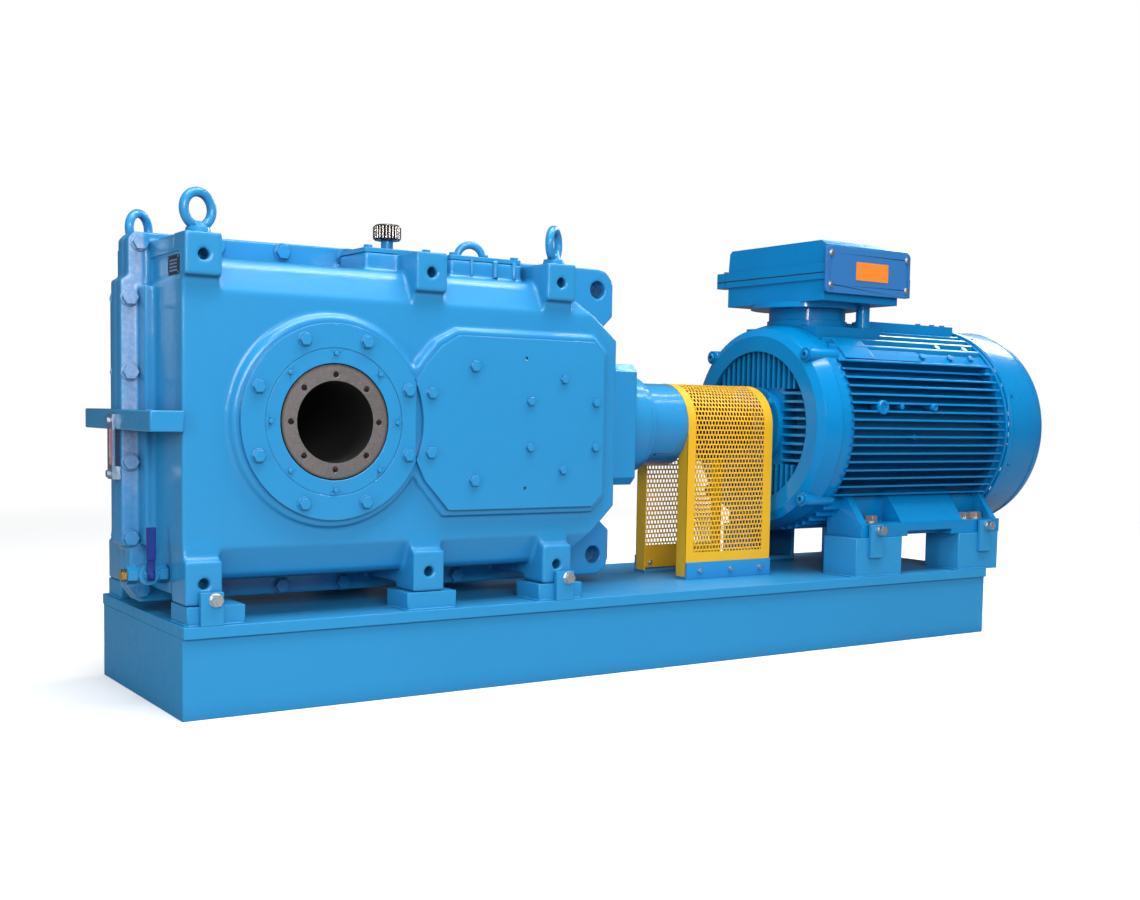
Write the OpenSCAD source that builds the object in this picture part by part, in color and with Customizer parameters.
// Shaft-mounted bevel-helical gearbox drive package on a fabricated base:
// split cast casing with a hollow output shaft, three gear stages, flexible
// coupling under a mesh guard, and a foot-mounted fan-cooled motor.
// Origin: centre of the base underside. +X towards the motor, -Y is the front.

/* [Base] */
// Length of the base
base_length = 2490; // [2480:1:2520]
// Width of the base
base_width = 600; // [590:2:610]
// Height of the base
base_height = 196; // [190:1:196]
// Thickness of the top plate
top_thickness = 25; // [20:1:30]
// Wall of the base side channels
side_thickness = 12; // [8:1:16]
// Height of the gearbox pads
pad_height = 40; // [38:1:40]

/* [Casing] */
// Height of the shaft centres above the floor
axis_z = 620.5; // [620:0.5:621]
// Wall of the cast casing
casing_wall = 22; // [18:1:24]
// Thickness of each parting flange
flange_thickness = 38; // [30:1:38]
// Radius of the tapped holes in the corner blocks
tap_r = 12; // [10:0.5:13]
// Depth of the tapped holes
tap_depth = 45; // [30:1:48]

/* [Output shaft] */
// Distance of the output axis from the left end of the base
out_x = 340; // [340:1:341]
// Bore radius of the hollow output shaft
out_bore_r = 89; // [80:1:92]
// Outer radius of the hollow output shaft
out_r = 124.5; // [122:0.5:124.5]
// Radius of the tapped hole circle in the front shaft end
front_tap_circle_r = 103; // [102:0.5:107]
// Radius of the tapped hole circle in the rear shaft end
rear_tap_circle_r = 107; // [106:0.5:108]
// Radius of the shaft end tapped holes
out_tap_r = 7; // [5:0.1:8]

/* [Gears] */
// Module of the output stage
output_mod = 8; // [8:1:8]
// Module of the second stage
second_mod = 5; // [5:1:5]
// Module of the bevel stage
bevel_mod = 6; // [6:1:6]
// Teeth of the output wheel
output_wheel_teeth = 67; // [67:1:67]
// Teeth of the output pinion
output_pinion_teeth = 20; // [20:1:20]
// Teeth of the second wheel
second_wheel_teeth = 76; // [76:1:76]
// Teeth of the second pinion
second_pinion_teeth = 22; // [22:1:22]
// Teeth of the bevel wheel
bevel_wheel_teeth = 42; // [42:1:42]
// Teeth of the bevel pinion
bevel_pinion_teeth = 14; // [14:1:14]

/* [Guard] */
// Length of the coupling guard
guard_length = 307; // [290:1:310]
// Outer radius of the guard arch
guard_r = 114.5; // [114:0.5:116]
// Sheet thickness of the guard
guard_sheet = 3; // [2:0.5:4]

/* [Motor] */
// Radius over the motor fins
motor_r = 308; // [300:1:308]
// Radius of the motor barrel under the fins
barrel_r = 262; // [255:1:270]
// Pitch of the motor side fins
fin_pitch = 24; // [22:1:28]
// Thickness of a motor fin
fin_thickness = 6; // [4:1:8]
// Radius of the motor shaft
motor_shaft_r = 45; // [40:1:48]

/* [Hidden] */
// Radial gap between mating parts
fit_gap = 0.05;
// Shaft axes, measured from the left end of the base
shaft_2_x = out_x + output_mod * (output_wheel_teeth + output_pinion_teeth) / 2;
shaft_1_x = shaft_2_x + second_mod * (second_wheel_teeth + second_pinion_teeth) / 2;
// Drive axis and parting plane, measured from the front of the base
mid_y = base_width / 2;
pad_top = base_height + pad_height;

blue = "steelblue";
deep = "royalblue";
zinc = "silver";
$fn = 64;

// ---------- placing ----------
// Parts are drawn with zero at the front left bottom corner of the base.
module corner() { translate([-base_length / 2, -base_width / 2, 0]) children(); }
// Mirror a front part to the rear
module rear() { translate([0, 2 * mid_y, 0]) mirror([0, 1, 0]) children(); }
module both() {
  children();
  rear() children();
}
// Turn about the drive axis; y and z of the children are measured from it
module about_drive(angle) { translate([0, mid_y, axis_z]) rotate([angle, 0, 0]) children(); }
// Points on a circle around a cross shaft at x, as [x, z]
function circle_xz(x, radius, count, start = 0) =
  [for (i = [0 : count - 1]) let (angle = start + i * 360 / count)
    [x + radius * cos(angle), axis_z + radius * sin(angle)]];

// ---------- shapes ----------
// Box between two opposite corners
module box(low, high) { translate(low) cube(high - low); }
// Cylinders along one axis, between two stations on it
module cyl_x(y, z, r, x0, x1) { translate([x0, y, z]) rotate([0, 90, 0]) cylinder(r = r, h = x1 - x0); }
module cyl_y(x, z, r, y0, y1) { translate([x, y0, z]) rotate([-90, 0, 0]) cylinder(r = r, h = y1 - y0); }
module cyl_z(x, y, r, z0, z1) { translate([x, y, z0]) cylinder(r = r, h = z1 - z0); }
// Hexagonal prisms, sized across flats
module hex_x(y, z, flats, x0, x1) {
  translate([x0, y, z]) rotate([0, 90, 0]) cylinder(r = flats / sqrt(3), h = x1 - x0, $fn = 6);
}
module hex_y(x, z, flats, y0, y1) {
  translate([x, y0, z]) rotate([-90, 0, 0]) cylinder(r = flats / sqrt(3), h = y1 - y0, $fn = 6);
}
module hex_z(x, y, flats, z0, z1) {
  translate([x, y, z0]) cylinder(r = flats / sqrt(3), h = z1 - z0, $fn = 6);
}
// One cylinder or hexagon at each [x, z] point
module cyls_y(points, r, y0, y1) { for (p = points) cyl_y(p[0], p[1], r, y0, y1); }
module hexes_y(points, flats, y0, y1) { for (p = points) hex_y(p[0], p[1], flats, y0, y1); }
// Ring along Y
module ring_y(x, z, outer_r, inner_r, y0, y1) {
  difference() {
    cyl_y(x, z, outer_r, y0, y1);
    cyl_y(x, z, inner_r, y0 - 1, y1 + 1);
  }
}
// Cylinder along Y at shaft height
module cross_cyl(x, r, y0, y1) { cyl_y(x, axis_z, r, y0, y1); }
// Cylinder, cone, ring and revolved [radius, x] profile on the drive axis
module drive_cyl(r, x0, x1) { cyl_x(mid_y, axis_z, r, x0, x1); }
module drive_cone(r0, r1, x0, x1) {
  translate([x0, mid_y, axis_z]) rotate([0, 90, 0]) cylinder(r1 = r0, r2 = r1, h = x1 - x0);
}
module drive_ring(outer_r, inner_r, x0, x1) {
  difference() {
    drive_cyl(outer_r, x0, x1);
    drive_cyl(inner_r, x0 - 1, x1 + 1);
  }
}
module drive_revolve(points) {
  translate([0, mid_y, axis_z]) rotate([0, 90, 0]) rotate_extrude() polygon(points);
}
// Prism along Y of an XZ outline
module plate_xz(points, y0, y1) {
  translate([0, y1, 0]) rotate([90, 0, 0]) linear_extrude(height = y1 - y0) polygon(points);
}
// Prism along X of a YZ outline
module prism_x(points, x0, x1) {
  translate([x0, 0, 0]) rotate([90, 0, 90]) linear_extrude(height = x1 - x0) polygon(points);
}

// ---------- gears ----------
pressure_angle = 20;
function polar(r, angle) = [r * cos(angle), r * sin(angle)];
function involute_angle(base_r, r) =
  r <= base_r ? 0 : sqrt(r * r / base_r / base_r - 1) * 180 / PI - acos(base_r / r);
// Half angle of a tooth at radius r, thinned by some degrees for backlash
function tooth_half_angle(teeth, mod, r, thin) =
  let (pitch_r = teeth * mod / 2, base_r = pitch_r * cos(pressure_angle))
  90 / teeth - thin + involute_angle(base_r, pitch_r) - involute_angle(base_r, r);
// Involute outline with a tooth centred on angle 0; add and ded are in modules
function gear_points(teeth, mod, thin, add = 1, ded = 1.25) =
  let (
    pitch_r = teeth * mod / 2,
    root_r = pitch_r - ded * mod,
    tip_r = pitch_r + add * mod,
    start_r = max(pitch_r * cos(pressure_angle), root_r + 0.2 * mod),
    steps = 4,
    // [radius, half angle] up one flank
    flank = [for (k = [0 : steps]) let (r = start_r + (tip_r - start_r) * k / steps)
      [r, tooth_half_angle(teeth, mod, r, thin)]],
    root_half = flank[0][1] + 0.15 * 180 / teeth
  )
  [for (i = [0 : teeth - 1]) let (middle = i * 360 / teeth) each concat(
    [polar(root_r, middle - root_half)],
    [for (k = [0 : steps]) polar(flank[k][0], middle - flank[k][1])],
    [for (k = [steps : -1 : 0]) polar(flank[k][0], middle + flank[k][1])],
    [polar(root_r, middle + root_half)])];
// Spur gear with its axis on Y; phase is the tooth angle from +X
module gear_y(x, teeth, mod, phase, y0, y1, thin) {
  translate([x, y1, axis_z]) rotate([90, 0, 0]) rotate([0, 0, phase])
    linear_extrude(height = y1 - y0) polygon(gear_points(teeth, mod, thin));
}
wheel_thin = 0.12;
pinion_thin = 0.35;
// Spur wheel with recessed faces, a hub and a ring of six web holes.
// face and web are [y0, y1]; the recesses run from hub_r to rim_r.
module web_wheel(x, teeth, mod, face, web, rim_r, hub_r, bore_r, hole_r, hole_circle_r) {
  hub = [face[0] - 5, face[1] + 5];
  difference() {
    union() {
      difference() {
        gear_y(x, teeth, mod, 0, face[0], face[1], wheel_thin);
        ring_y(x, axis_z, rim_r, hub_r, face[0] - 1, web[0]);
        ring_y(x, axis_z, rim_r, hub_r, web[1], face[1] + 1);
      }
      cross_cyl(x, hub_r, hub[0], hub[1]);
    }
    cross_cyl(x, bore_r, hub[0] - 10, hub[1] + 10);
    cyls_y(circle_xz(x, hole_circle_r, 6), hole_r, hub[0] - 10, hub[1] + 10);
  }
}

// ---------- bearings ----------
// Roller bearing along Z; the rollers overlap both races to make one solid
module bearing(inner_r, outer_r, width, rollers) {
  race = (outer_r - inner_r) * 0.28;
  roller_r = (outer_r - inner_r) / 2 - race + 0.6;
  difference() {
    cylinder(r = outer_r, h = width);
    translate([0, 0, -1]) cylinder(r = outer_r - race, h = width + 2);
  }
  difference() {
    cylinder(r = inner_r + race, h = width);
    translate([0, 0, -1]) cylinder(r = inner_r, h = width + 2);
  }
  for (i = [0 : rollers - 1]) rotate([0, 0, i * 360 / rollers])
    translate([(inner_r + outer_r) / 2, 0, width * 0.12]) cylinder(r = roller_r, h = width * 0.76);
}
// Bearings on a cross shaft and on the drive axis
module cross_bearing(x, shaft_r, outer_r, y0, y1, rollers) {
  translate([x, y0, axis_z]) rotate([-90, 0, 0])
    bearing(shaft_r + fit_gap, outer_r, y1 - y0, rollers);
}
module drive_bearing(shaft_r, outer_r, x0, x1, rollers) {
  translate([x0, mid_y, axis_z]) rotate([0, 90, 0])
    bearing(shaft_r + fit_gap, outer_r, x1 - x0, rollers);
}

// ---------- base ----------
plate_under = base_height - top_thickness;
anchor_x = [100, base_length / 2, base_length - 100];
anchor_y = 61;
frame_y = 8; // front face of the side channel
rib_x = [650, 1180, 1700];
rib_thickness = 12;
bottom_thickness = 16;
module base_frame() {
  rear_y = base_width - frame_y;
  color(blue) corner() difference() {
    union() {
      difference() {
        box([0, frame_y, 0], [base_length, rear_y, plate_under]);
        box([side_thickness, frame_y + side_thickness, -1],
          [base_length - side_thickness, rear_y - side_thickness, plate_under + 1]);
      }
      // inward bottom flanges, the middle tie plate and the cross ribs
      both() box([side_thickness - 1, frame_y + 1, 0],
        [base_length - side_thickness + 1, frame_y + 89, bottom_thickness]);
      box([base_length / 2 - 50, frame_y + 50, 0],
        [base_length / 2 + 50, rear_y - 50, bottom_thickness]);
      for (x = rib_x) box([x, frame_y + side_thickness - 1, bottom_thickness - 1],
        [x + rib_thickness, rear_y - side_thickness + 1, plate_under]);
    }
    both() for (x = anchor_x) cyl_z(x, anchor_y, 13, -1, 19);
  }
}
hold_x = [49.5, 574.5, 924];
hold_y = 86;
hold_bolt_r = 12;
hold_hole_r = 13.5;
module base_top_plate() {
  color(blue) corner() difference() {
    box([0, 0, plate_under], [base_length, base_width, base_height]);
    both() for (x = hold_x) cyl_z(x, hold_y, hold_hole_r, 0, 300);
  }
}
pad_x = [[11, 136], [517, 643], [870, 995]];
module gearbox_pads() {
  color(blue) corner() both() for (i = [0 : 2]) difference() {
    box([pad_x[i][0], 13, base_height], [pad_x[i][1], 118, pad_top]);
    cyl_z(hold_x[i], hold_y, hold_hole_r, 0, 300);
  }
}
module gearbox_hold_down_bolts() {
  color(zinc) corner() both() for (x = hold_x) {
    cyl_z(x, hold_y, hold_bolt_r, plate_under - 2, pad_top + 52);
    // head with a centre mark, and its washer
    difference() {
      hex_z(x, hold_y, 36, plate_under - 19, plate_under - 4);
      cyl_z(x, hold_y, 2, plate_under - 30, plate_under - 18);
    }
    cyl_z(x, hold_y, 22, plate_under - 4, plate_under);
  }
}
pedestal_x = [[1937, 2124], [2371, 2550]];
pedestal_y = [10, 140];
pedestal_wall = 14;
foot_x = [2046, 2452, 2503];
foot_y = 64.5;
foot_z = [307, 347]; // underside and top of the motor feet
module motor_pedestals() {
  color(blue) corner() both() difference() {
    for (p = pedestal_x)
      box([p[0], pedestal_y[0], base_height], [p[1], pedestal_y[1], foot_z[0]]);
    for (x = foot_x) cyl_z(x, foot_y, 12, 240, 340);
    // hollow, open towards the middle
    for (p = pedestal_x) box([p[0] + pedestal_wall, pedestal_y[0] + pedestal_wall, 210],
      [p[1] - pedestal_wall, pedestal_y[1] + 10, 291]);
  }
}
module motor_foot_bolts() {
  color("peru") corner() both() for (x = foot_x) {
    cyl_z(x, foot_y, 12, 262, 358);
    hex_z(x, foot_y, 36, 351, 366);
    cyl_z(x, foot_y, 22, foot_z[1], foot_z[1] + 4);
    hex_z(x, foot_y, 38, 272, 291);
  }
}
// Gearbox jacks: bracket start, bracket end, screw x
gearbox_jacks = [[36, 85, 68], [913, 962, 946]];
motor_jacks = [[1985, 2035, 2015], [2455, 2505, 2485]];
gearbox_jack_z = 250;
motor_jack_z = 329;
jack_r = 8;
module jack_brackets() {
  color(blue) corner() both() {
    for (j = gearbox_jacks) difference() {
      box([j[0], 0, base_height], [j[1], 13, base_height + 70]);
      cyl_y(j[2], gearbox_jack_z, jack_r + fit_gap, -5, 30);
    }
    for (j = motor_jacks) difference() {
      box([j[0], 0, 250], [j[1], 10, 345]);
      cyl_y(j[2], motor_jack_z, jack_r + fit_gap, -5, 30);
    }
  }
}
module jack_screws() {
  color(zinc) corner() both() {
    for (j = gearbox_jacks) {
      hex_y(j[2], gearbox_jack_z, 24, -11, -1);
      cyl_y(j[2], gearbox_jack_z, jack_r, -2, 17.4);
      cyl_y(j[2], gearbox_jack_z, 15, -1, 0);
    }
    for (j = motor_jacks) {
      hex_y(j[2], motor_jack_z, 24, -22, -12);
      cyl_y(j[2], motor_jack_z, jack_r, -13, 13.9);
      ring_y(j[2], motor_jack_z, 13, jack_r - 0.1, -5, 0);
    }
  }
}

// ---------- casing ----------
// Parting flange outline, [x, z]
flange_points = [
  [-34, 250], [-34, 336], [-50, 344], [-50, 919], [-34, 928], [-34, 1008], [-20, 1023],
  [1120, 1029], [1205, 1029], [1205, 984], [1250, 984], [1250, 905], [1140, 805], [1140, 786],
  [1105, 786], [1105, 455], [1140, 455], [1140, 436], [1250, 336], [1250, 262], [1205, 262],
  [1205, 217], [1120, 217], [-10, 217]];
// Flange bolts, [x, z]
flange_bolt_xz = concat(
  [for (z = [881, 721, 526, 360]) [-31, z]],
  [[-8, 1000], [-8, 246]],
  [for (x = [162, 316, 470, 778, 1086], side = [-1, 1]) [x, axis_z + 383.5 * side]],
  [for (side = [-1, 1]) [1160, axis_z + 224.5 * side]]);
lug_centre_xz = [[1205, 984], [1205, 262]];
lug_hole_xz = [[1201, 975], [1201, 270]];
flange_y = mid_y - flange_thickness;
join_y = mid_y - 1; // inner limit of the solids that run into the flange
body_x = 38; // left face of the casing body
face_y = 24; // outer face of the cover bosses
boss_back_y = 40;
casing_top = 1004;
end_x = -12; // left face of the end wall beside the flange
end_y = 215;
block_x = [[10, 89], [535, 614], [884, 964]];
block_y = 17.7; // outer face of the corner blocks
upper_block_yz = [[block_y, casing_top], [block_y, 918], [34, 912], [39, 860], [92, 860],
  [92, 940], [92, casing_top]];
lower_block_yz = [[block_y, pad_top], [block_y, 328], [34, 334], [39, 382], [110, 382],
  [110, pad_top]];
// Casing body seen from the front and from the end, drawn in by an inset
function body_xz(inset) = [
  [body_x + inset, 278 + inset], [958 - 0.4 * inset, 278 + inset],
  [1105 - inset, 419 + 0.42 * inset], [1105 - inset, 830 - 0.45 * inset],
  [940 - 0.35 * inset, 963 - inset], [body_x + inset, 963 - inset], [body_x + inset, 913],
  [10 + inset, 905], [10 + inset, 345], [body_x + inset, 337]];
function body_yz(inset) = [
  [400, 278 + inset], [100, 278 + inset], [80 + inset / 2, 283 + inset],
  [66 + inset / 2, 296 + inset], [38 + inset, 353 + inset / 2], [38 + inset, 888 - inset / 2],
  [66 + inset / 2, 945 - inset], [80 + inset / 2, 958 - inset], [100, 963 - inset],
  [400, 963 - inset]];
// Side cover and the boss under it, [x, z]
side_cover_xz = [
  [622, 421], [1022, 421], [1052, 451], [1052, 792], [1022, 822], [646, 822], [600, 796],
  [560, 752], [535, 718], [535, 540], [560, 490]];
side_boss_xz = [
  [612, 407], [1030, 407], [1068, 445], [1068, 798], [1030, 836], [644, 836], [590, 808],
  [548, 760], [520, 722], [520, 536], [548, 482]];
// Bearing bores: shaft x, bore radius, inner boss radius, inner boss end y
bore_table = [[out_x, 170, 186, 122], [shaft_2_x, 95, 116, 112], [shaft_1_x, 75, 96, 112]];
// Cover fixings, [x, z]
output_bolt_xz = circle_xz(out_x, 190, 8, 22.5);
seal_screw_xz = circle_xz(out_x, 148.5, 8);
corner_bolt_xz = [[574.3, 689.1], [572.6, 554.4], [685.3, 753], [687.3, 488.9]];
round_bolt_xz = circle_xz(932.5, 109, 6, 30);
output_bolt_r = 8;
side_bolt_r = 6;
seal_screw_r = 3;
// Top cover seats along X, and the cover bolts, [x, y]
seat_x = [[452, 628], [672, 868]];
top_bolt_xy = [for (x = [466, 614, 686, 770, 854], y = [125, 233]) [x, y]];
top_bolt_r = 6;
eye_front_y = 56;
eye_rear_inset = 137; // rear eyebolts, from the rear of the base
eye_thread_r = 12;
gauge_y = mid_y - 12;
gauge_screw_z = [500, 616];
gauge_screw_r = 5;
drain_y = 140;
drain_z = 294;

module casing_body(inset, y1) {
  intersection() {
    plate_xz(body_xz(inset), 0, y1);
    prism_x(body_yz(inset), -100, 1200);
  }
}
module casing_solid(front) {
  // the rear half carries its upper blocks further in
  upper_y = front ? 60 : 102;
  casing_body(0, mid_y);
  // parting flange and the round lugs at its right end
  plate_xz(flange_points, flange_y, mid_y);
  cyls_y(lug_centre_xz, 45, flange_y, mid_y);
  // thickened end wall beside the flange
  box([end_x, end_y, 345], [30, join_y, 905]);
  box([26, end_y, 300], [60, join_y, 940]);
  // corner blocks, their ribs and feet
  for (b = block_x) {
    inner_x = max(b[0], body_x);
    if (front) prism_x(upper_block_yz, b[0], b[1]);
    box([front ? inner_x : b[0], upper_y, 930], [b[1], join_y, casing_top]);
    prism_x(lower_block_yz, b[0], b[1]);
    box([inner_x, 60, pad_top + 14], [b[1], join_y, 310]);
  }
  // output boss and side cover boss
  translate([out_x, face_y, axis_z]) rotate([-90, 0, 0])
    cylinder(r1 = 226, r2 = 236, h = boss_back_y - face_y);
  plate_xz(side_boss_xz, face_y, boss_back_y);
  // end wall between the corner blocks
  box([12, upper_y, 893], [60, join_y, casing_top]);
  box([12, 60, pad_top + 14], [60, join_y, 345]);
  // cover seats on the roof and the drain boss
  if (front) {
    for (s = seat_x) box([s[0], 112, 930], [s[1], 246, casing_top]);
    box([seat_x[0][0], 240, 930], [seat_x[1][1], join_y, 984]);
    cyl_x(drain_y, drain_z, 24, 10, 70);
  }
}
// Gear cavity, leaving the inner bearing bosses standing
module casing_cavity() {
  difference() {
    casing_body(casing_wall, mid_y + 1);
    for (b = bore_table) cross_cyl(b[0], b[2], boss_back_y, b[3]);
  }
}
// Bores and holes of both halves
module casing_holes(front) {
  for (b = bore_table) cross_cyl(b[0], b[1], 0, 124);
  cyls_y(output_bolt_xz, output_bolt_r + fit_gap, 0, 54);
  cyls_y(concat(corner_bolt_xz, round_bolt_xz), side_bolt_r + fit_gap, 0, 49);
  cyls_y(flange_bolt_xz, 10.5, 200, mid_y + 1);
  cyls_y(lug_hole_xz, 23, 200, mid_y + 1);
  for (x = hold_x) cyl_z(x, hold_y, hold_bolt_r + fit_gap, 200, 296);
  for (x = [hold_x[0], hold_x[2]])
    cyl_z(x, front ? eye_front_y : eye_rear_inset, eye_thread_r + fit_gap, 973.5, 1033.5);
  // input shaft opening in the right end wall, and the seat of the input housing
  drive_cyl(82, 1050, 1200);
  box([1105, 100, 400], [1130, mid_y + 1, 850]);
}
// Cuts of the front half only
module front_cuts() {
  // tapped holes in the corner blocks
  for (b = block_x, side = [-1, 1])
    cyl_y((b[0] + b[1]) / 2, axis_z + 338.5 * side, tap_r, 0, block_y + tap_depth);
  cyl_x(drain_y, drain_z, 12.05, 0, 120);
  // shallow nameplate recess
  box([0, 46, 914], [17, 252, 967]);
  // openings under the top covers
  box([484, 138, 900], [596, 220, 1010]);
  box([702, 138, 900], [838, 220, 1010]);
  for (z = gauge_screw_z) cyl_x(gauge_y, z, gauge_screw_r + fit_gap, -60, -30);
  for (p = top_bolt_xy) cyl_z(p[0], p[1], top_bolt_r + fit_gap, 972, 1022);
}
module casing_half(front) {
  difference() {
    casing_solid(front);
    casing_cavity();
    casing_holes(front);
    if (front) front_cuts();
  }
}
module casing_front() { color(blue) corner() casing_half(true); }
module casing_rear() { color(blue) corner() rear() casing_half(false); }
module flange_bolts() {
  rear_face = mid_y + flange_thickness;
  color(blue) corner() {
    cyls_y(flange_bolt_xz, 10, flange_y, rear_face + 20);
    hexes_y(flange_bolt_xz, 30, flange_y - 13, flange_y);
    hexes_y(flange_bolt_xz, 30, rear_face, rear_face + 16);
  }
}
// Anti-rotation bar across the end of the casing, notched over the flange
module torque_bar() {
  color(blue) corner() difference() {
    both() difference() {
      box([-60, 24, 596], [10, mid_y, 640]);
      box([-50, flange_y, 590], [20, mid_y + 1, 650]);
      box([end_x, end_y, 590], [20, mid_y + 1, 650]);
    }
    cyl_x(gauge_y, gauge_screw_z[1], gauge_screw_r + fit_gap, -70, -30);
    // shortens the rear end
    box([-70, 516, 590], [20, 700, 650]);
  }
}

// ---------- covers ----------
output_cover_r = 214;
cover_y = 14; // outer face of the output and side covers
spigot_end_y = 60;
seal_r = 140;
module output_covers() {
  color(blue) corner() both() difference() {
    union() {
      ring_y(out_x, axis_z, output_cover_r, 127, cover_y, face_y);
      ring_y(out_x, axis_z, 169.9, seal_r, 23, spigot_end_y);
    }
    cross_cyl(out_x, 160, 0, 21);
    cross_cyl(out_x, seal_r, 0, 80);
    cyls_y(output_bolt_xz, 8.5, 0, 30);
    cyls_y(seal_screw_xz, seal_screw_r + fit_gap, 0, 40);
    // notch at the top edge
    cyl_y(out_x, axis_z + 216, 5, 0, 20);
    // truncated towards the side cover
    box([535, 0, 500], [600, 30, 760]);
  }
}
module seal_covers() {
  color(blue) corner() both() difference() {
    ring_y(out_x, axis_z, 159.7, 127, 14.5, 21);
    cyls_y(seal_screw_xz, 3.5, 0, 30);
  }
}
module seal_screws() {
  color(blue) corner() both() {
    cyls_y(seal_screw_xz, seal_screw_r, 14, 36);
    cyls_y(seal_screw_xz, 5, 10, 14.5);
  }
}
module side_covers() {
  color(blue) corner() both() difference() {
    union() {
      plate_xz(side_cover_xz, cover_y, face_y);
      ring_y(shaft_2_x, axis_z, 94.9, 70, 23, spigot_end_y);
      ring_y(shaft_1_x, axis_z, 74.9, 52, 23, spigot_end_y);
    }
    // clears the round output cover
    cross_cyl(out_x, output_cover_r + 0.4, 0, 30);
    cyls_y(concat(corner_bolt_xz, round_bolt_xz), 6.5, 0, 30);
    // two shallow holes in the outer face
    cyls_y([[826, 775.4], [826, 468.3]], 4, 0, 20);
  }
}
module cover_bolts() {
  color(blue) corner() both() {
    cyls_y(output_bolt_xz, output_bolt_r, 13, 52);
    hexes_y(output_bolt_xz, 24, 4, cover_y);
    cyls_y(concat(corner_bolt_xz, round_bolt_xz), side_bolt_r, 13, 47);
    hexes_y(corner_bolt_xz, 24, 6, cover_y);
    hexes_y(round_bolt_xz, 19, 6, cover_y);
  }
}
breather_x = 540;
breather_y = 179;
neck_r = 12;
neck_top_r = 11;
top_cover_z = 1015;
module top_covers() {
  color(blue) corner() difference() {
    union() {
      for (s = seat_x)
        box([s[0] + 1.5, 113.5, casing_top], [s[1] - 1.5, 244.5, top_cover_z]);
      cyl_z(breather_x, breather_y, 18, 1014, 1021);
    }
    for (p = top_bolt_xy) cyl_z(p[0], p[1], 6.5, 980, 1030);
    cyl_z(breather_x, breather_y, neck_r + fit_gap, 980, 1060);
  }
}
module top_cover_bolts() {
  color(blue) corner() for (p = top_bolt_xy) {
    cyl_z(p[0], p[1], top_bolt_r, 974, 1016);
    hex_z(p[0], p[1], 19, top_cover_z, 1021);
  }
}
module breather_neck() {
  color(blue) corner() translate([breather_x, breather_y, 0]) difference() {
    union() {
      cyl_z(0, 0, neck_r, 1000, 1022);
      cyl_z(0, 0, 14, 1021, 1041);
      cyl_z(0, 0, neck_top_r, 1040, 1060);
    }
    cyl_z(0, 0, 7, 990, 1070);
  }
}
module breather_cap() {
  color(zinc) corner() translate([breather_x, breather_y, 0]) difference() {
    union() {
      cyl_z(0, 0, 29.5, 1041.2, 1074.2);
      // grip ribs
      for (i = [0 : 23]) rotate([0, 0, i * 15]) cyl_z(30, 0, 2.8, 1044, 1072);
      translate([0, 0, 1074]) cylinder(r1 = 30, r2 = 26, h = 3);
    }
    cyl_z(0, 0, neck_top_r + fit_gap, 1030, 1064);
    for (i = [0 : 5]) rotate([0, 0, i * 60]) cyl_z(20, 0, 3, 1030, 1060);
  }
}
module eyebolt() {
  cyl_z(0, 0, eye_thread_r, -30, 1);
  cylinder(r1 = 27, r2 = 24, h = 12);
  translate([0, 0, 49]) rotate([90, 0, 0]) rotate_extrude()
    translate([35, 0]) circle(r = 10, $fn = 32);
  cylinder(r1 = 22, r2 = 12, h = 24);
}
// Eyebolts: x, y, turn about Z
eyebolt_table = [
  [hold_x[0], eye_front_y, 19],
  [hold_x[2], eye_front_y, 39],
  [hold_x[0], base_width - eye_rear_inset, 37],
  [hold_x[2], base_width - eye_rear_inset, -14]];
module eyebolts() {
  color(blue) corner() for (e = eyebolt_table)
    translate([e[0], e[1], casing_top]) rotate([0, 0, e[2]]) eyebolt();
}

// ---------- output stage ----------
module output_shaft() {
  color(zinc) corner() difference() {
    union() {
      cross_cyl(out_x, out_r, 15, base_width - 15);
      cross_cyl(out_x, out_r + 8, 124, 270);
      cross_cyl(out_x, out_r + 8, 410, 476);
    }
    cross_cyl(out_x, out_bore_r, 0, base_width);
    cyls_y(circle_xz(out_x, front_tap_circle_r, 8), out_tap_r, 0, 47);
    rear() cyls_y(circle_xz(out_x, rear_tap_circle_r, 8), out_tap_r, 0, 47);
  }
}
module output_wheel() {
  color("gray") corner() web_wheel(out_x, output_wheel_teeth, output_mod,
    face = [275, 405], web = [300, 380], rim_r = 236, hub_r = 160, bore_r = out_r,
    hole_r = 24, hole_circle_r = 198);
}
module output_bearings() {
  color(zinc) corner() both() cross_bearing(out_x, out_r, 170, 62, 120, 20);
}
module output_seals() {
  color("black") corner() both()
    ring_y(out_x, axis_z, seal_r - fit_gap, out_r + fit_gap, 24, 40);
}

// ---------- intermediate stages ----------
shaft_end_y = 40; // front end of both intermediate shafts
shaft_2_r = 50;
shaft_2_collar_r = 62;
shaft_1_r = 35;
shaft_1_collar_r = 42;
module pinion_shaft_2() {
  color("gray") corner() {
    cross_cyl(shaft_2_x, shaft_2_r, shaft_end_y, base_width - shaft_end_y);
    for (y = [[114, 160], [250, 276], [404, 486]])
      cross_cyl(shaft_2_x, shaft_2_collar_r, y[0], y[1]);
    gear_y(shaft_2_x, output_pinion_teeth, output_mod, 180 / output_pinion_teeth,
      270, 410, pinion_thin);
  }
}
module wheel_2() {
  color("gray") corner() web_wheel(shaft_2_x, second_wheel_teeth, second_mod,
    face = [165, 245], web = [182, 228], rim_r = 165, hub_r = 82, bore_r = shaft_2_r,
    hole_r = 20, hole_circle_r = 124);
}
module shaft_2_bearings() {
  color(zinc) corner() both() cross_bearing(shaft_2_x, shaft_2_r, 95, 62, 112, 14);
}
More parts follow.
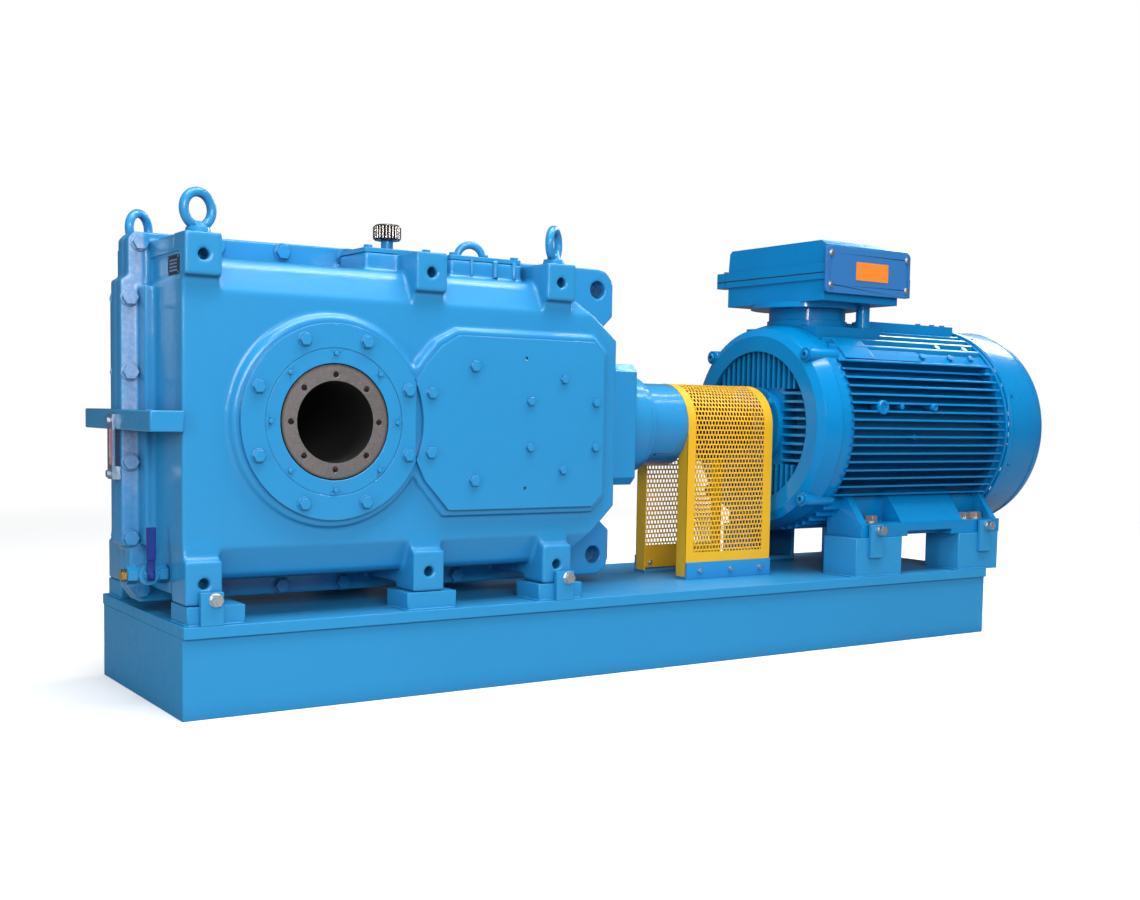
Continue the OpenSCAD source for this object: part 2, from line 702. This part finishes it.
module pinion_shaft_1() {
  color("gray") corner() {
    cross_cyl(shaft_1_x, shaft_1_r, shaft_end_y, base_width - shaft_end_y);
    for (y = [[114, 160], [246, 330], [402, 486]])
      cross_cyl(shaft_1_x, shaft_1_collar_r, y[0], y[1]);
    gear_y(shaft_1_x, second_pinion_teeth, second_mod, 180 / second_pinion_teeth,
      160, 250, pinion_thin);
  }
}
module shaft_1_bearings() {
  color(zinc) corner() both() cross_bearing(shaft_1_x, shaft_1_r, 75, 66, 112, 11);
}

// Bevel pair: both pitch cones have their apex where the shaft axes cross
bevel_pinion_r = bevel_mod * bevel_pinion_teeth / 2;
bevel_wheel_r = bevel_mod * bevel_wheel_teeth / 2;
bevel_scale = 0.72; // size of the small end against the large end
cone_length = sqrt(bevel_wheel_r * bevel_wheel_r + bevel_pinion_r * bevel_pinion_r);
cone_angle = atan(bevel_wheel_r / bevel_pinion_r);
// Cone angle, radius and half angle of a wheel tooth, k modules above the pitch cone
function tooth_cone(k) = cone_angle + atan(k * bevel_mod / cone_length);
function bevel_r(k) = bevel_pinion_r * tan(tooth_cone(k));
function bevel_half(k) = (PI * bevel_mod / 4 - 0.55 - k * bevel_mod * tan(pressure_angle))
  / sin(tooth_cone(k)) / cone_length * 180 / PI;
// Tooth corners: modules above the pitch cone, side of the tooth
bevel_corners = [[-1.15, -1], [0, -1], [0.8, -1], [0.8, 1], [0, 1], [-1.15, 1]];
function bevel_points() = [for (i = [0 : bevel_wheel_teeth - 1]) each
  [for (c = bevel_corners)
    polar(bevel_r(c[0]), i * 360 / bevel_wheel_teeth + c[1] * bevel_half(c[0]))]];
module bevel_wheel() {
  back_y = mid_y + bevel_pinion_r;
  color("gray") corner() difference() {
    union() {
      translate([shaft_1_x, back_y, axis_z]) rotate([90, 0, 0])
        linear_extrude(height = bevel_pinion_r * (1 - bevel_scale), scale = bevel_scale)
        polygon(bevel_points());
      cross_cyl(shaft_1_x, 104, back_y - 0.5, back_y + 26);
      cross_cyl(shaft_1_x, 60, back_y + 20, 402);
    }
    cross_cyl(shaft_1_x, shaft_1_r, 280, 420);
    cross_cyl(shaft_1_x, shaft_1_collar_r, 280, 330);
  }
}

// ---------- input ----------
input_bearing_r = 40; // shaft radius under the bearings
input_end_r = 35; // shaft radius at the coupling
input_bearing_outer_r = 80;
input_bearing_x = [[1110, 1154], [1206, 1250]];
module input_shaft() {
  back_x = shaft_1_x + bevel_wheel_r;
  color("gray") corner() {
    translate([back_x, mid_y, axis_z]) rotate([0, -90, 0])
      linear_extrude(height = bevel_wheel_r * (1 - bevel_scale), scale = bevel_scale)
      polygon(gear_points(bevel_pinion_teeth, bevel_mod, thin = 1.4, add = 0.8, ded = 1.2));
    drive_cyl(33, back_x - 0.5, 1112);
    drive_cyl(input_bearing_r, 1100, 1345);
    drive_cyl(46, input_bearing_x[0][1], input_bearing_x[1][0]);
    drive_cyl(input_end_r, 1340, 1558);
  }
}
module input_bearings() {
  color(zinc) corner() for (b = input_bearing_x)
    drive_bearing(input_bearing_r, input_bearing_outer_r, b[0], b[1], 11);
}
// Chamfered square flange of the input housing, [y, z]
input_flange_yz = [[143, 483], [163, 463], [437, 463], [457, 483], [457, 758], [437, 778],
  [163, 778], [143, 758]];
module input_housing() {
  color(blue) corner() difference() {
    union() {
      prism_x(input_flange_yz, 1105, 1247);
      drive_cyl(140, 1246, 1314);
      drive_cone(140, 131, 1314, 1320);
      drive_cyl(131, 1319, 1336);
      drive_cone(131, 113, 1336, 1348);
      drive_cyl(113, 1347, 1462);
    }
    drive_cyl(input_bearing_outer_r, 1100, 1252);
    drive_cyl(70, 1200, 1440);
    drive_cyl(55, 1430, 1470);
    // small cross hole low in the neck
    cyl_y(1372, axis_z - 82, 3, 150, mid_y);
  }
}
module input_seal() {
  color("black") corner() drive_ring(55 - fit_gap, input_end_r + fit_gap, 1442, 1460);
}

// ---------- coupling and guard ----------
hub_flange_r = 98;
// Six claws about the drive axis
module claws(x0, x1, phase, width, inner_r, outer_r) {
  for (i = [0 : 5]) about_drive(60 * i + phase)
    box([x0, -width / 2, inner_r], [x1, width / 2, outer_r]);
}
module hub_claws(x0, x1, phase) { claws(x0, x1, phase, width = 22, inner_r = 56, outer_r = 88); }
module claw_slots(x0, x1, phase) {
  claws(x0, x1, phase, width = 22.4, inner_r = 55.5, outer_r = 100);
}
module coupling_hub_gearbox() {
  color("dimgray") corner() difference() {
    union() {
      drive_cyl(66, 1470, 1560);
      drive_cyl(hub_flange_r, 1536, 1570);
      hub_claws(1569, 1594, 0);
    }
    drive_cyl(input_end_r, 1460, 1580);
  }
}
module coupling_hub_motor() {
  color("dimgray") corner() difference() {
    union() {
      drive_cyl(hub_flange_r, 1600, 1634);
      drive_cyl(72, 1630, 1730);
      hub_claws(1576, 1601, 30);
    }
    drive_cyl(motor_shaft_r, 1590, 1740);
  }
}
module coupling_element() {
  color("black") corner() difference() {
    drive_ring(94, 50, 1571, 1599);
    claw_slots(1560, 1594.5, 0);
    claw_slots(1575.5, 1610, 30);
  }
}
guard_x0 = 1459;
guard_x1 = guard_x0 + guard_length;
guard_y = mid_y - guard_r; // front face of the guard
guard_leg_z = 203;
guard_screw_x = [1506, 1616, 1725];
guard_screw_z = 220;
guard_screw_r = 4;
bracket_thickness = 5;
bracket_y = guard_y - bracket_thickness;
module guard_arch(r, x0, x1, bottom_z) {
  drive_cyl(r, x0, x1);
  box([x0, mid_y - r, bottom_z], [x1, mid_y + r, axis_z]);
}
module guard() {
  color("gold") corner() difference() {
    union() {
      difference() {
        guard_arch(guard_r, guard_x0, guard_x1, 205);
        guard_arch(guard_r - guard_sheet, guard_x0 - 1, guard_x1 + 1, 200);
      }
      // legs and inward flanges at each end
      both() {
        for (x = [guard_x0, guard_x1 - 38])
          box([x, guard_y, guard_leg_z], [x + 38, guard_y + guard_sheet, 260]);
        for (x = [guard_x0, guard_x1 - guard_sheet])
          box([x, guard_y, guard_leg_z], [x + guard_sheet, guard_y + 42, 596]);
      }
    }
    drive_cyl(113.6, guard_x0 - 10, guard_x0 + 3.6);
    for (x = guard_screw_x) cyl_y(x, guard_screw_z, 4.5, 0, base_width);
    // mesh field: staggered round holes through both sides
    for (i = [0 : 15], j = [0 : 16])
      cyl_y(guard_x0 + 24 + i * 16.4 + (j % 2) * 4, 276 + j * 20, 5,
        guard_y - 5, mid_y + guard_r + 5);
  }
}
module guard_brackets() {
  color(blue) corner() both() difference() {
    union() {
      box([guard_x0, bracket_y, base_height], [guard_x1, guard_y, 243]);
      box([guard_x0, bracket_y, base_height], [guard_x1, guard_y + 44, base_height + 6]);
    }
    for (x = guard_screw_x) cyl_y(x, guard_screw_z, guard_screw_r + fit_gap, 0, mid_y);
  }
}
module guard_screws() {
  inner_y = guard_y + guard_sheet;
  color(zinc) corner() both() for (x = guard_screw_x) {
    cyl_y(x, guard_screw_z, guard_screw_r, guard_y - 6, guard_y + 12);
    hex_y(x, guard_screw_z, 13, bracket_y - 6, bracket_y);
    hex_y(x, guard_screw_z, 13, inner_y, inner_y + 7);
  }
}

// ---------- fittings ----------
// Window of the oil gauge, from x0 to its back
module gauge_window(x0) { box([x0, mid_y - 30, 520], [-64, gauge_y, 596]); }
module oil_gauge_frame() {
  color(zinc) corner() difference() {
    union() {
      box([-68, mid_y - 34, 488], [-62, mid_y + 4, 629]);
      box([-62.1, mid_y - 34, 600], [-60, mid_y + 4, 629]);
      box([-62.1, mid_y - 34, 488], [-50, mid_y + 4, 516]);
      for (z = gauge_screw_z) {
        cyl_x(gauge_y, z, gauge_screw_r, -69, -36);
        hex_x(gauge_y, z, 14, -75, -68);
      }
    }
    gauge_window(-90);
  }
}
module oil_gauge_glass() { color("lightcoral") corner() gauge_window(-67.5); }
module nameplate() { color("dimgray") corner() box([15, 73, 921], [17, 143, 961]); }
valve_x = -34;
plug_r = 11;
lever_pin_r = 5;
module drain_valve() {
  color(blue) corner() difference() {
    union() {
      cyl_x(drain_y, drain_z, 12, -8, 62);
      hex_x(drain_y, drain_z, 36, -10, 8);
      cyl_x(drain_y, drain_z, 17, -66, -8);
      cyl_y(valve_x, drain_z, 21, drain_y - 19, drain_y + 19);
      hex_x(drain_y, drain_z, 34, -76, -56);
      cyl_y(valve_x, drain_z, 11, drain_y - 30, drain_y - 18);
    }
    cyl_x(drain_y, drain_z, 8, -60, 70);
    cyl_x(drain_y, drain_z, plug_r + fit_gap, -80, -60);
    cyl_y(valve_x, drain_z, lever_pin_r + fit_gap, drain_y - 40, drain_y - 14);
  }
}
module drain_plug() {
  color("goldenrod") corner() {
    cyl_x(drain_y, drain_z, plug_r, -77, -60);
    hex_x(drain_y, drain_z, 24, -88, -76.5);
  }
}
module drain_lever() {
  color("navy") corner() {
    cyl_y(valve_x, drain_z, lever_pin_r, drain_y - 44, drain_y - 16);
    hex_y(valve_x, drain_z, 13, drain_y - 42, drain_y - 36);
    translate([valve_x - 8, drain_y - 36, drain_z - 10]) cube([16, 5.5, 62]);
    translate([valve_x - 9, drain_y - 40, drain_z + 34]) cube([18, 10, 68]);
  }
}

// ---------- motor ----------
motor_x0 = 1797; // drive end face of the shield
shield_x = 1862; // joint of the drive end shield
frame_x1 = 2548; // joint of the fan end shield
cowl_x = 2560;
crown_pitch = 28; // pitch of the upright fins
stator_r = 239.9;
motor_bearing_outer_r = 85;
terminal_x = 1996;
gusset_yz = [[17, foot_z[1]], [122, foot_z[1]], [122, 482]];
// Smooth shoulders above the side fins: radius, x0, x1, first and last angle
shoulder_table = [
  [300, 1905, 2545, 40.5, 51],
  [305, 1930, 2246, 40.5, 48],
  [307, 1930, 2046, 40.5, 59]];
// Round studs on the shoulders: x, angle above the horizontal
stud_table = [[2262, 44.5], [2385, 44.5], [2480, 45], [2366, 53.5], [2487, 53]];
// Point about the drive axis, at an angle above the horizontal on the front side
function front_polar(r, angle) = [mid_y - r * cos(angle), axis_z + r * sin(angle)];
module shoulder(r, x0, x1, first, last) {
  intersection() {
    drive_cyl(r, x0, x1);
    prism_x([front_polar(200, first), front_polar(400, first),
      front_polar(400, last), front_polar(200, last)], x0, x1);
  }
}
// Upright fin number i, counted from the middle
module crown_fin(i, x0, x1, z0) {
  y = mid_y + i * crown_pitch;
  box([x0, y - fin_thickness / 2, z0], [x1, y + fin_thickness / 2, 940]);
}
module motor_fins() {
  intersection() {
    drive_cyl(motor_r, 1890, 2546);
    union() {
      for (i = [-8 : 8]) let (z = axis_z + i * fin_pitch)
        box([1895, -20, z - fin_thickness / 2], [2540, base_width + 20, z + fin_thickness / 2]);
      for (i = [-7 : 7]) if (i != 0) crown_fin(i, 1895, 2540, 300);
    }
  }
  // taller fins on the crown
  for (i = [-3 : 3]) if (i != 0) crown_fin(i, 2160, 2544, 860);
}
module motor_foot() {
  box([1957, 14, foot_z[0]], [2557, 130, foot_z[1]]);
  box([1957, 96, foot_z[0]], [2547, 150, 420]);
  for (x = [[1957, 1983], [2526, 2547], [2126, 2394]]) prism_x(gusset_yz, x[0], x[1]);
}
module motor_frame() {
  color(deep) corner() difference() {
    union() {
      drive_cyl(barrel_r, 1880, frame_x1);
      drive_cyl(motor_r - 10, shield_x + 0.3, 1906);
      drive_cyl(motor_r - 14, 2530, frame_x1);
      motor_fins();
      // terminal box seat
      cyl_z(terminal_x, mid_y, 118, axis_z + 240, axis_z + 312);
      box([1890, mid_y - 150, axis_z + 150], [2150, mid_y + 150, 912]);
      both() {
        motor_foot();
        for (s = shoulder_table) shoulder(s[0], s[1], s[2], s[3], s[4]);
        for (s = stud_table) about_drive(90 - s[1]) cyl_z(s[0], 0, 10, 270, 308);
        for (x = [2425, 2489, 2536]) cyl_z(x, 250, 8, 920, 947);
      }
    }
    both() {
      // foot bolt holes and the room above them
      for (x = foot_x) {
        cyl_z(x, foot_y, 13, 290, 347.5);
        cyl_z(x, foot_y, 24, foot_z[1], 409);
      }
      // trims the fins at the upper sides
      box([1900, -60, axis_z + 160], [2500, 60, axis_z + 260]);
      // shallow relief under the foot
      box([2150, 0, 300], [2340, 60, 322]);
    }
    drive_cyl(240, 1800, 2600);
  }
}
// Section of the drive end shield, [radius, x]
drive_shield_section = [
  [217, motor_x0], [262, motor_x0], [284, motor_x0 + 14], [298, shield_x],
  [stator_r, shield_x], [stator_r, 1885], [217, 1885]];
module shield_ribs() {
  intersection() {
    drive_cyl(225, 1806, 1870);
    both() {
      for (i = [-4 : 4])
        box([1806, mid_y - 225, axis_z + i * 24 - 4], [1870, mid_y - 108, axis_z + i * 24 + 4]);
      for (i = [-7 : 7], z = [-225, 108])
        box([1806, mid_y + i * 22 - 4, axis_z + z], [1870, mid_y + i * 22 + 4, axis_z + z + 117]);
    }
  }
}
module motor_shield_drive_end() {
  color(deep) corner() difference() {
    union() {
      drive_revolve(drive_shield_section);
      drive_cyl(226, shield_x, 1880);
      drive_cyl(112, motor_x0 - 4, 1890);
      box([1812, mid_y - 110, axis_z - 110], [1870, mid_y + 110, axis_z + 110]);
      shield_ribs();
      // outer and inner round bosses
      for (angle = [45 : 90 : 315]) about_drive(angle) {
        cyl_x(0, 288, 20, 1800, shield_x);
        cyl_x(0, 96, 12, motor_x0 - 12, motor_x0 + 8);
      }
    }
    drive_cyl(motor_shaft_r + 2, 1700, 1900);
    drive_cyl(motor_bearing_outer_r, 1820, 1900);
  }
}
module motor_shield_fan_end() {
  color(deep) corner() difference() {
    union() {
      drive_cyl(305.4, frame_x1, cowl_x);
      drive_cyl(stator_r, 2528, frame_x1);
      drive_cyl(110, 2500, 2580);
    }
    drive_cyl(motor_shaft_r + 2, 2490, 2600);
    drive_cyl(motor_bearing_outer_r, 2490, 2550);
  }
}
// Section of the cowl shell, outside then inside, [radius, x]
cowl_section = [
  [306, cowl_x], [310, cowl_x], [310, 2700], [303, 2724], [284, 2740], [240, 2746], [0, 2746],
  [0, 2742], [239, 2742], [281, 2736], [299, 2721], [306, 2699]];
module fan_cowl() {
  color(deep) corner() difference() {
    drive_revolve(cowl_section);
    // eight rings of hexagonal holes in the end
    for (ring = [1 : 8]) for (i = [0 : 5 * ring - 1]) about_drive(360 * i / (5 * ring))
      translate([2730, 0, 27 * ring]) rotate([0, 90, 0]) cylinder(r = 8, h = 30, $fn = 6);
  }
}
module motor_stator() {
  color("orangered") corner() {
    drive_ring(stator_r, 160, 2020, 2390);
    drive_ring(225, 172, 1960, 2450);
  }
}
module motor_rotor() {
  color("gray") corner() {
    drive_cyl(158, 2022, 2388);
    drive_cyl(motor_shaft_r + 15, 1890, 2492);
    drive_cyl(motor_shaft_r, 1637, 2650);
  }
}
module motor_bearings() {
  color(zinc) corner() for (x = [1822, 2502])
    drive_bearing(motor_shaft_r, motor_bearing_outer_r, x, x + 48, 10);
}
module motor_fan() {
  color("black") corner() difference() {
    union() {
      drive_cyl(75, 2590, 2660);
      drive_cyl(230, 2590, 2596);
      for (i = [0 : 6]) about_drive(i * 360 / 7) box([2595, -3, 60], [2665, 3, 260]);
    }
    drive_cyl(motor_shaft_r, 2580, 2660);
    drive_cyl(20, 2640, 2700);
  }
}

// ---------- terminal box ----------
lid_z = 1058; // joint of box and lid
lid_screw_x = [1884, 2188];
lid_screw_y = 545;
end_screw_x = [1875, 2182];
end_screw_z = [1024, 1112]; // lower pair in the box, upper pair in the lid
end_screw_r = 3;
end_plate_y = [82, 88];
// Rim along the joint and the two screw lugs behind it
module terminal_rim(z0, z1) {
  box([1862, 95, z0], [2205, 520, z1]);
  for (x = [[1866, 1900], [2171, 2205]]) box([x[0], 519, z0], [x[1], 566, z1]);
}
module end_screw_holes(z) { for (x = end_screw_x) cyl_y(x, z, end_screw_r + fit_gap, 80, 112); }
module terminal_box() {
  color(deep) corner() difference() {
    union() {
      cyl_z(terminal_x, mid_y, 113, axis_z + 312, axis_z + 354);
      cyl_z(1984, mid_y, 159, 966, 981);
      cyl_z(2100, 173, 20, 912, 981);
      cyl_z(2100, 173, 23, 912, 934);
      box([1866, 100, 980], [2165, 512, 1050]);
      box([1866, end_plate_y[1], 1004], [2205, 100, lid_z]);
      terminal_rim(1039, lid_z);
    }
    box([1878, 112, 990], [2150, 500, 1100]);
    cyl_z(terminal_x, mid_y, 60, 900, 1020);
    for (x = lid_screw_x) cyl_z(x, lid_screw_y, 4.05, 1030, 1090);
    end_screw_holes(end_screw_z[0]);
  }
}
// Section of the lid, [y, z]
lid_yz = [[96, lid_z], [96, 1137], [116, 1150], [500, 1150], [510, 1141], [518, lid_z]];
module terminal_lid() {
  color(deep) corner() difference() {
    union() {
      prism_x(lid_yz, 1868, 2199);
      box([1866, end_plate_y[1], lid_z], [2199, 100, 1122]);
      terminal_rim(lid_z, 1085);
    }
    box([1884, 118, 1056], [2184, 496, 1137]);
    for (x = lid_screw_x) cyl_z(x, lid_screw_y, 4.5, 1030, 1110);
    end_screw_holes(end_screw_z[1]);
  }
}
module terminal_end_plate() {
  y0 = end_plate_y[0];
  y1 = end_plate_y[1];
  color("slateblue") corner() difference() {
    // plate with rounded corners
    union() {
      box([1869, y0, 1001], [2183, y1, 1132]);
      box([1855, y0, 1015], [2197, y1, 1118]);
      for (x = [1869, 2183], z = [1015, 1118]) cyl_y(x, z, 14, y0, y1);
    }
    for (x = end_screw_x, z = end_screw_z) cyl_y(x, z, 3.5, 70, 100);
  }
}
module terminal_screws() {
  color(zinc) corner() {
    for (x = end_screw_x, z = end_screw_z) {
      cyl_y(x, z, end_screw_r, 81, 108);
      cyl_y(x, z, 6, 76, end_plate_y[0]);
    }
    for (x = lid_screw_x) {
      cyl_z(x, lid_screw_y, 4, 1041, 1086);
      hex_z(x, lid_screw_y, 13, 1085, 1091);
    }
  }
}

base_frame();
base_top_plate();
gearbox_pads();
motor_pedestals();
jack_brackets();
jack_screws();
gearbox_hold_down_bolts();
motor_foot_bolts();
casing_front();
casing_rear();
flange_bolts();
torque_bar();
output_covers();
side_covers();
cover_bolts();
seal_covers();
seal_screws();
output_shaft();
output_wheel();
output_bearings();
output_seals();
pinion_shaft_2();
wheel_2();
shaft_2_bearings();
pinion_shaft_1();
bevel_wheel();
shaft_1_bearings();
input_shaft();
input_bearings();
input_housing();
input_seal();
coupling_hub_gearbox();
coupling_hub_motor();
coupling_element();
guard();
guard_brackets();
guard_screws();
top_covers();
top_cover_bolts();
breather_neck();
breather_cap();
eyebolts();
oil_gauge_frame();
oil_gauge_glass();
drain_valve();
drain_plug();
drain_lever();
nameplate();
motor_frame();
motor_shield_drive_end();
motor_shield_fan_end();
fan_cowl();
motor_stator();
motor_rotor();
motor_fan();
motor_bearings();
terminal_box();
terminal_lid();
terminal_end_plate();
terminal_screws();
